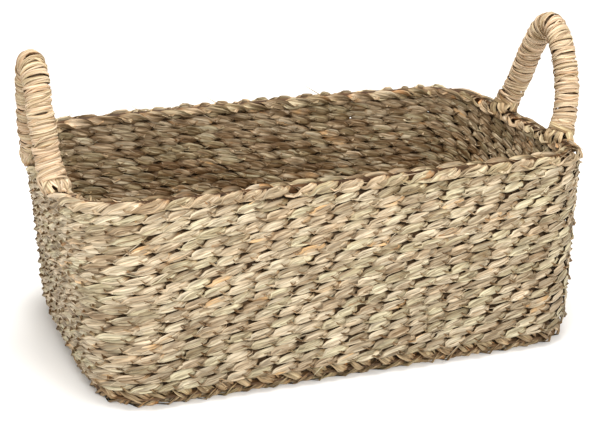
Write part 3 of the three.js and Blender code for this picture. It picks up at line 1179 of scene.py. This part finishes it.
@dataclass(frozen=True)
class CaneFinish:
    """Raw cane, very dark brown, that shows only between the turns of the twine."""

    name: str = "handle cane"
    light: Colour = (0.3, 0.19, 0.1)
    dark: Colour = (0.1, 0.06, 0.03)
    grain_scale: float = 260
    roughness: float = 0.7

    def material(self) -> bpy.types.Material:
        """Makes the material the first time that it is asked for.

        Returns:
            The material.
        """
        existing = bpy.data.materials.get(self.name)
        if existing:
            return existing
        material, sketch, shader = start_material(self.name)
        place = sketch.add("ShaderNodeTexCoord").outputs["Object"]
        grain = sketch.add("ShaderNodeTexNoise", {"Scale": self.grain_scale, "Vector": place})
        colour = sketch.mix(grain.outputs["Fac"], self.dark, self.light)
        sketch.feed(shader.inputs["Base Color"], colour)
        shader.inputs["Roughness"].default_value = self.roughness
        return material


@dataclass(frozen=True)
class BasketWall:
    """The stacked courses of plait, and the rim plait that finishes them."""

    foot_end_bow: float = 6 * MM
    rim_end_bow: float = 16 * MM
    rim_side_bow: float = 3 * MM
    foot_radius: float = 40.5 * MM
    rim_radius: float = 43 * MM
    end_dip: float = 11 * MM
    course_width: float = 13 * MM
    rim_width: float = 14 * MM
    rim_courses: float = 1.12
    course_plait: Plait = Plait(
        width=13.5 * MM,
        height=7.6 * MM,
        stroke_pitch=18 * MM,
        leaf_width=3.4 * MM,
        leaf_thickness=1.0 * MM,
        seed=11,
        samples=17,
        leaves=4,
        overlap=0.52,
        looseness=1.1,
        slant=0.88,
        inner_slant=1.0,
        row_hold=3.5 * MM,
        fraying=Fraying(count=60),
    )
    rim_plait: Plait = Plait(
        width=15.5 * MM,
        height=9 * MM,
        stroke_pitch=20 * MM,
        leaf_width=3.9 * MM,
        leaf_thickness=1.3 * MM,
        seed=71,
        edge_hold=0.4,
        lead=0.3,
        flatness=2.0,
        leaves=4,
        overlap=0.6,
        looseness=1.7,
        slant=0.75,
        row_hold=3.6 * MM,
        row_turn=0.0,
        rust_chance=0.03,
        fraying=Fraying(count=110),
    )

    def course_guide(self, node: str, width: float, plait: Plait) -> Guide:
        """Sets out the middle line of a course.

        Args:
            node: The course's node in the frame.
            width: How wide the course is across the wall.
            plait: The plait that will follow the guide.

        Returns:
            The guide, which sinks at the end walls as the frame's course does.
        """
        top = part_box(node)[1][2]
        foot_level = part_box(COURSE_NODES[0])[0][2]
        wall_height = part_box(RIM_NODE)[1][2] - foot_level
        share_of_top = (top - foot_level) / wall_height
        outline = Outline.round_node(
            node,
            end_bow=lerp(self.foot_end_bow, self.rim_end_bow, share_of_top),
            side_bow=lerp(0, self.rim_side_bow, share_of_top),
            radius=lerp(self.foot_radius, self.rim_radius, share_of_top),
        )
        plan, outwards, length = plait.trace(outline.inset(width / 2))
        level = top - wall_height / (len(COURSE_NODES) + self.rim_courses) / 2
        dip = self.end_dip * (1 - (plan[:, 1] / outline.half_breadth) ** 2)
        dip = np.clip(dip, 0, None) * share_of_top ** 2
        return Guide.flat(plan, outwards, level - dip, length)

    def build(self) -> None:
        """Makes the courses and the rim, one piece for each node of the frame."""
        for number, node in enumerate(COURSE_NODES):
            plait = replace(self.course_plait, seed=self.course_plait.seed + number)
            course = plait.make(f"{node}_plait", self.course_guide(node, self.course_width, plait))
            hand_over(course, WALL_FINISH.material(), node)
        guide = self.course_guide(RIM_NODE, self.rim_width, self.rim_plait)
        rim = self.rim_plait.make("rim_plait_strands", guide)
        hand_over(rim, RIM_FINISH.material(), RIM_NODE)


@dataclass(frozen=True)
class BasketFoot:
    """The border plait on edge round the base, and the flat turns inside it."""

    end_bow: float = 6 * MM
    radius: float = 40.5 * MM
    border_thickness: float = 8 * MM
    border_lean: float = 3 * MM
    base_pitch: float = 13 * MM
    border_plait: Plait = Plait(
        width=14.5 * MM,
        height=8.5 * MM,
        stroke_pitch=18 * MM,
        leaf_width=2.9 * MM,
        leaf_thickness=1.2 * MM,
        seed=301,
        edge_hold=0.8,
        lead=0.1,
        flatness=0.8,
        leaves=5,
        overlap=0.7,
        looseness=1.4,
        slant=0.8,
    )
    base_plait: Plait = Plait(
        width=14.5 * MM,
        height=8 * MM,
        stroke_pitch=15.3 * MM,
        leaf_width=4.6 * MM,
        leaf_thickness=1.8 * MM,
        seed=401,
        samples=10,
        edge_hold=0.5,
        lead=0.0,
        flatness=0.8,
        filled_at=(-0.45, -0.22, 0.0, 0.22, 0.45),
        looseness=0.8,
    )

    def border_guide(self) -> Guide:
        """Sets out the middle line of the border plait, which leans in at its foot.

        Returns:
            The guide, whose edge looks up and whose face looks outwards.
        """
        low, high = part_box(BORDER_NODE)
        outline = Outline.round_node(BORDER_NODE, self.end_bow, 0, self.radius)
        middle = outline.inset((self.border_thickness + self.border_lean) / 2)
        plan, outwards, length = self.border_plait.trace(middle)
        count = len(plan)
        points = np.column_stack([plan, np.full(count, (low[2] + high[2]) / 2)])
        lean = self.border_lean / (high[2] - low[2])
        edge = unit(np.column_stack([outwards * lean, np.ones(count)]))
        face = unit(np.column_stack([outwards, np.full(count, -lean)]))
        return Guide(points, edge, face, length)

    def base_guide(self, node: str, turn: int) -> Guide:
        """Sets out the middle line of a turn of the base.

        Args:
            node: The turn's node in the frame.
            turn: The turn's number, from nought at the outside.

        Returns:
            The guide, which lies level.
        """
        low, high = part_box(node)
        bow = self.end_bow * (1 - turn / len(BASE_NODES))
        inset_so_far = self.border_thickness + turn * self.base_pitch
        radius = max(self.radius - inset_so_far, self.base_pitch)
        outline = Outline.round_node(node, bow, 0, radius)
        plan, outwards, length = self.base_plait.trace(outline.inset(self.base_pitch / 2))
        return Guide.flat(plan, outwards, np.full(len(plan), (low[2] + high[2]) / 2), length)

    def build(self) -> None:
        """Makes the border and the turns of the base, one piece for each node of the frame."""
        border = self.border_plait.make("base_border_strands", self.border_guide())
        press_to_floor(border)
        hand_over(border, BORDER_FINISH.material(), BORDER_NODE)
        for turn, node in enumerate(BASE_NODES):
            plait = replace(self.base_plait, seed=self.base_plait.seed + turn)
            piece = plait.make(f"{node}_plait", self.base_guide(node, turn))
            press_to_floor(piece)
            hand_over(piece, BASE_FINISH.material(), node)


@dataclass(frozen=True)
class LegLean:
    """How far a handle's leg runs in towards the middle, and outwards, for what it rises."""

    inwards: float
    outwards: float


@dataclass(frozen=True)
class Winding:
    """One length of flattened twine among those that are wound together."""

    turns: int
    begin: float
    size: float
    proud: float
    slip: float


@dataclass(frozen=True)
class WrappedHandle:
    """A stiff loop handle: lengths of flattened twine wound close round a cane core."""

    side: HandleSide
    lean: LegLean
    seed: int
    radius: float = 10.2 * MM
    clearance: float = 0.3 * MM
    rise_share: float = 0.35
    crown_reach: float = 20.5 * MM
    bend_points: int = 60
    first_turn: float = 3.5 * MM
    twine_width: float = 3.5 * MM
    twine_thickness: float = 1.7 * MM
    twine_edge_shade: float = 0.85
    steps: int = 18
    knots_in_turn: int = 4
    lift: float = 0.7 * MM
    roll: float = 0.7
    unevenness: float = 0.35
    lashing_seed_step: int = 10
    windings: tuple[Winding, ...] = (
        Winding(turns=35, begin=0.0, size=1.0, proud=0.0, slip=1.3 * MM),
        Winding(turns=35, begin=0.5, size=0.95, proud=0.15 * MM, slip=1.3 * MM),
        Winding(turns=28, begin=0.25, size=0.55, proud=0.65 * MM, slip=3.6 * MM),
        Winding(turns=22, begin=0.7, size=0.4, proud=0.8 * MM, slip=4.5 * MM),
    )

    def lashing_box(self, foot: HandleFoot) -> tuple[Vector, Vector]:
        """Returns the low and high corners of the frame's lashing at a foot."""
        low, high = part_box(f"foot_lashing_{self.side.value}_{foot.value}")
        return Vector(low), Vector(high)

    def leg(self, foot: HandleFoot) -> Vector:
        """Returns the direction up the leg from a foot."""
        across = -foot.sign * self.lean.inwards
        return Vector((self.side.sign * self.lean.outwards, across, 1)).normalized()

    def foot_place(self, foot: HandleFoot) -> Vector:
        """Returns where the middle of a leg meets the top of the rim."""
        low, high = self.lashing_box(foot)
        return (low + high) / 2 - self.leg(foot) * (high.z - low.z) / 2

    def bend_place(self, foot: HandleFoot) -> Vector:
        """Finds where a leg ends its straight run and begins to bend.

        Args:
            foot: The foot at which the leg stands.

        Returns:
            The place on the leg's middle line.
        """
        low, high = self.lashing_box(foot)
        leg = self.leg(foot)
        tilt = math.hypot(leg.x, leg.y)
        return self.foot_place(foot) + leg * (high.z - low.z + self.clearance + self.radius * tilt)

    def crown_place(self) -> Vector:
        """Finds the middle of the handle at its highest point.

        Returns:
            The place on the handle's middle line.
        """
        low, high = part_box(f"handle_wrap_{self.side.value}")
        outer = low[0] if self.side is HandleSide.LEFT else high[0]
        x = outer - self.side.sign * self.radius
        return Vector((x, (low[1] + high[1]) / 2, high[2] - self.radius))

    def half_line(self, foot: HandleFoot) -> np.ndarray:
        """Follows the middle of the handle from a foot to the crown.

        Args:
            foot: The foot at which the line starts.

        Returns:
            The points of the line.
        """
        crown = self.crown_place()
        leg = self.leg(foot)
        bend = self.bend_place(foot)
        reach = self.rise_share * (crown.z - bend.z)
        pull = crown + Vector((0, foot.sign * self.crown_reach, 0))
        corners = [np.array(corner) for corner in (bend, bend + leg * reach, pull, crown)]
        t = np.linspace(0, 1, self.bend_points)[:, None]
        curve = ((1 - t) ** 3 * corners[0] + 3 * (1 - t) ** 2 * t * corners[1]
                 + 3 * (1 - t) * t ** 2 * corners[2] + t ** 3 * corners[3])
        return np.concatenate([[self.foot_place(foot) + leg * self.first_turn], curve])

    def wind(self, winding: Winding, rng: np.random.Generator) -> Strand:
        """Winds one length of twine from foot to foot.

        Args:
            winding: The length to wind.
            rng: The source of random numbers.

        Returns:
            The run of the twine.
        """
        count = max(item.turns for item in self.windings) * self.steps + 1
        knots = winding.turns * self.knots_in_turn
        front, back = (self.half_line(foot) for foot in HandleFoot)
        line = spaced_evenly(np.concatenate([front, back[::-1][1:]]), count, closed=False)
        along = run_direction(line)
        outward = unit(np.array([1.0, 0.0, 0.0]) - along * along[:, 0:1])
        angle = FULL_TURN * (np.linspace(0, winding.turns, count) + winding.begin)
        facing = outward * np.cos(angle)[:, None] + np.cross(along, outward) * np.sin(angle)[:, None]
        slip = wander(rng, knots, count, closed=False) * winding.slip
        lift = wander(rng, knots, count, closed=False) * self.lift + winding.proud
        reach = self.radius - self.twine_thickness / 2 + lift
        points = line + along * slip[:, None] + facing * reach[:, None]
        run = run_direction(points)
        roll = wander(rng, knots, count, closed=False) * self.roll
        size = winding.size * (1 + self.unevenness * wander(rng, knots, count, closed=False))
        stretch = (angle / HALF_TURN).astype(int)
        tones = rng.uniform(0, 1, (int(stretch.max()) + 1, 2))
        marks = np.column_stack([tones[stretch], np.zeros((count, 2))])
        return Strand(points, tilt_from_up(run, square_to(run, facing)) + roll, size, marks)

    def wrap(self) -> bpy.types.Object:
        """Winds all the twine of the handle.

        Returns:
            The twine as one mesh.
        """
        rng = np.random.default_rng(self.seed)
        strands = [self.wind(winding, rng) for winding in self.windings]
        section = LeafSection(
            self.twine_width / 2,
            self.twine_thickness / 2,
            TWINE_RIDGES,
            TWINE_CRISP_POINTS,
            self.twine_edge_shade,
        )
        return sweep_leaves(f"handle_twine_{self.side.value}", strands, section)

    def build(self) -> None:
        """Makes the handle's twine and lashings, and dresses its core."""
        hand_over(self.wrap(), TWINE_FINISH.material(), f"handle_wrap_{self.side.value}")
        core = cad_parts[f"handle_core_{self.side.value}"]
        for slot in core.material_slots:
            slot.material = CaneFinish().material()
        for number, foot in enumerate(HandleFoot, start=1):
            FootLashing(self, foot, self.seed + self.lashing_seed_step * number).build()


@dataclass(frozen=True)
class FootLashing:
    """The lashing at a handle's foot: slanting turns of twine, and leaf ends that run over the rim."""

    handle: WrappedHandle
    foot: HandleFoot
    seed: int
    turns: int = 3
    tails: int = 36
    points: int = 26
    leaf_width: float = 3.4 * MM
    leaf_thickness: float = 1.2 * MM
    sizes: Pair = (0.7, 1.15)
    unevenness: float = 0.2
    rolls: Pair = (-0.4, 0.4)
    twist: float = 0.3
    knots: int = 4
    collar_radius: float = 10.5 * MM
    collar_slant: float = 2.2 * MM
    collar_heights: Pair = (2.5 * MM, 6.5 * MM)
    collar_turn_share: float = 1.05
    tail_top: float = 8 * MM
    tail_scatter: float = 0.15
    tail_droop: float = 1.4
    tail_swell: float = 1.1
    tail_swells: Pair = (-0.4 * MM, 0.9 * MM)
    tail_upturn: float = 0.4
    tucked_radius: float = 8.8 * MM
    bulge_radius: float = 11.2 * MM
    outer_radius: float = 8 * MM
    inner_radius: float = 11 * MM
    rim_radius: float = 15.5 * MM
    side_drop: float = 8 * MM
    rim_drop: float = 1.5 * MM
    drift: float = 0.9

    def radial(self, angle: np.ndarray) -> np.ndarray:
        """Returns the level directions at angles round the foot, from straight outwards."""
        outwards = self.handle.side.sign * np.cos(angle)
        return np.stack([outwards, np.sin(angle), np.zeros_like(angle)], axis=1)

    def lay(self, points: np.ndarray, facing: np.ndarray, rng: np.random.Generator) -> Strand:
        """Makes a run of leaf along points.

        Args:
            points: The points of the run.
            facing: The direction in which the leaf's face looks at each point.
            rng: The source of random numbers.

        Returns:
            The run, slightly rolled and uneven, with a tone of its own and painted shade at its ends.
        """
        count = len(points)
        along = run_direction(points)
        size = rng.uniform(*self.sizes)
        size *= 1 + self.unevenness * wander(rng, self.knots, count, closed=False)
        roll = rng.uniform(*self.rolls) + self.twist * wander(rng, self.knots, count, closed=False)
        colours = np.tile([rng.uniform(), rng.uniform()], (count, 1))
        # Both ends of each leaf are marked as tucked, so they take painted shade.
        tucked = np.linspace(-1, 1, count) ** 4
        marks = np.column_stack([colours, tucked, np.zeros(count)])
        return Strand(points, tilt_from_up(along, square_to(along, facing)) + roll, size, marks)

    def collar_turn(self, height: float, rng: np.random.Generator) -> Strand:
        """Lays one slanting turn of twine round the foot.

        Args:
            height: How far up the leg it lies.
            rng: The source of random numbers.

        Returns:
            The run of the turn.
        """
        angle = np.linspace(0, FULL_TURN * self.collar_turn_share, self.points) + rng.uniform(0, FULL_TURN)
        slant = self.collar_slant * np.sin(angle + rng.uniform(0, FULL_TURN))
        middle = np.array(self.handle.foot_place(self.foot))
        leg = np.array(self.handle.leg(self.foot))
        radial = self.radial(angle)
        facing = unit(radial - leg * (radial @ leg)[:, None])
        points = middle + leg * (height + slant)[:, None] + facing * self.collar_radius
        return self.lay(points, facing, rng)

    def tail(self, place: float, rng: np.random.Generator) -> Strand:
        """Lays one leaf end from under the wrap down over the rim.

        Args:
            place: Where round the foot it starts, in radians from straight outwards.
            rng: The source of random numbers.

        Returns:
            The run of the leaf end.
        """
        t = np.linspace(0, 1, self.points)
        angle = place + rng.uniform(-self.drift, self.drift) * t
        on_rim = np.sin(angle) ** 2
        off_rim = np.where(np.cos(angle) > 0, self.outer_radius, self.inner_radius)
        end_radius = lerp(off_rim, self.rim_radius, on_rim)
        drop = lerp(self.side_drop, self.rim_drop, on_rim)
        height = self.tail_top * (1 - t) - drop * t ** self.tail_droop
        swell = np.sin(HALF_TURN * np.clip(t * self.tail_swell, 0, 1))
        radius = lerp(self.tucked_radius, end_radius, t)
        radius += (self.bulge_radius - (self.tucked_radius + end_radius) / 2).clip(0) * swell
        radius += rng.uniform(*self.tail_swells) * swell
        leg = np.array(self.handle.leg(self.foot))
        centre = np.array(self.handle.foot_place(self.foot)) + leg * np.maximum(height, 0)[:, None]
        centre[:, 2] += np.minimum(height, 0)
        radial = self.radial(angle)
        return self.lay(centre + radial * radius[:, None], radial + [0, 0, self.tail_upturn], rng)

    def build(self) -> None:
        """Makes the lashing as one piece."""
        rng = np.random.default_rng(self.seed)
        strands = [self.collar_turn(height, rng) for height in np.linspace(*self.collar_heights, self.turns)]
        for place in np.arange(self.tails) * FULL_TURN / self.tails:
            scattered = place + rng.uniform(-self.tail_scatter, self.tail_scatter)
            strands.append(self.tail(scattered, rng))
        section = LeafSection(self.leaf_width / 2, self.leaf_thickness / 2)
        node = f"foot_lashing_{self.handle.side.value}_{self.foot.value}"
        piece = sweep_leaves(f"{node}_leaves", strands, section)
        finish = TWINE_FINISH if self.handle.side is HandleSide.LEFT else LASHING_FINISH
        hand_over(piece, finish.material(), node)


@dataclass(frozen=True)
class SoftLight:
    """A soft square light that looks at the basket."""

    name: str
    place: tuple[float, float, float]
    size: float
    power: float
    aim_height: float = 0.1

    def hang(self) -> None:
        """Adds the light to the scene."""
        data = bpy.data.lights.new(self.name, "AREA")
        data.size = self.size
        data.energy = self.power
        light = bpy.data.objects.new(self.name, data)
        light.location = self.place
        aim = Vector((0, 0, self.aim_height)) - Vector(self.place)
        light.rotation_euler = aim.to_track_quat("-Z", "Y").to_euler()
        bpy.context.scene.collection.objects.link(light)


@dataclass(frozen=True)
class Studio:
    """The floor, the lights and the camera, whose distance and slides are in wall heights."""

    azimuth: float = -21.4006
    elevation: float = 19.8511
    roll: float = 0.871
    distance: float = 7.4439
    slide_right: float = -0.0111
    slide_up: float = 0.0818
    lens: float = 86.35
    sensor_width: float = 36
    clip_start: float = 0.05
    floor_reach: float = 8
    floor_gap: float = 0.3 * MM
    floor_colour: Colour = (0.9, 0.9, 0.9)
    floor_roughness: float = 0.9
    air_colour: Colour = (1, 0.965, 0.91)
    lights: tuple[SoftLight, ...] = (
        SoftLight("key", (-0.25, -1.7, 1.2), 0.45, 19),
        SoftLight("overhead", (0.0, -0.1, 1.6), 0.6, 20),
    )

    def camera(self) -> None:
        """Sets the camera to the photograph's viewing angle."""
        azimuth, elevation, roll = (math.radians(v) for v in (self.azimuth, self.elevation, self.roll))
        back = Vector((
            math.sin(azimuth) * math.cos(elevation),
            -math.cos(azimuth) * math.cos(elevation),
            math.sin(elevation),
        ))
        forward = -back
        right = forward.cross(Vector((0, 0, 1))).normalized()
        up = right.cross(forward)
        foot_low, foot_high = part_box(COURSE_NODES[0])
        wall_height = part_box(RIM_NODE)[1][2]
        target = Vector(((foot_low[0] + foot_high[0]) / 2, 0, wall_height / 2))
        place = target + back * self.distance * wall_height
        place += (right * self.slide_right + up * self.slide_up) * wall_height
        rolled_right = right * math.cos(roll) + up * math.sin(roll)
        rolled_up = up * math.cos(roll) - right * math.sin(roll)
        data = bpy.data.cameras.new("camera")
        data.lens = self.lens
        data.sensor_width = self.sensor_width
        data.clip_start = self.clip_start
        camera = bpy.data.objects.new("camera", data)
        turn = Matrix((rolled_right, rolled_up, back)).transposed()
        camera.matrix_world = Matrix.Translation(place) @ turn.to_4x4()
        bpy.context.scene.collection.objects.link(camera)
        bpy.context.scene.camera = camera

    def floor(self) -> None:
        """Lays the plain pale floor, a hair below the basket."""
        work = bmesh.new()
        bmesh.ops.create_grid(work, x_segments=1, y_segments=1, size=self.floor_reach)
        bmesh.ops.translate(work, verts=work.verts, vec=(0, 0, -self.floor_gap))
        mesh = bpy.data.meshes.new("floor")
        work.to_mesh(mesh)
        work.free()
        floor = bpy.data.objects.new("floor", mesh)
        bpy.context.scene.collection.objects.link(floor)
        material, _, shader = start_material("floor white")
        shader.inputs["Base Color"].default_value = (*self.floor_colour, 1)
        shader.inputs["Roughness"].default_value = self.floor_roughness
        mesh.materials.append(material)

    def build(self) -> None:
        """Sets up the camera, the floor and the lights."""
        self.camera()
        self.floor()
        world = bpy.data.worlds.new("studio")
        world.use_nodes = True
        background = world.node_tree.nodes["Background"]
        background.inputs["Color"].default_value = (*self.air_colour, 1)
        background.inputs["Strength"].default_value = 1.0
        bpy.context.scene.world = world
        bpy.context.scene.view_settings.view_transform = "Standard"
        for light in self.lights:
            light.hang()


def main() -> None:
    """Builds the basket around its frame and sets the studio."""
    logging.basicConfig(level=logging.INFO, format="%(name)s %(message)s")
    Studio().build()
    BasketWall().build()
    BasketFoot().build()
    WrappedHandle(HandleSide.LEFT, LegLean(inwards=0.42, outwards=0.17), seed=501).build()
    WrappedHandle(HandleSide.RIGHT, LegLean(inwards=0.25, outwards=0.43), seed=551).build()


if __name__ == "__main__":
    main()
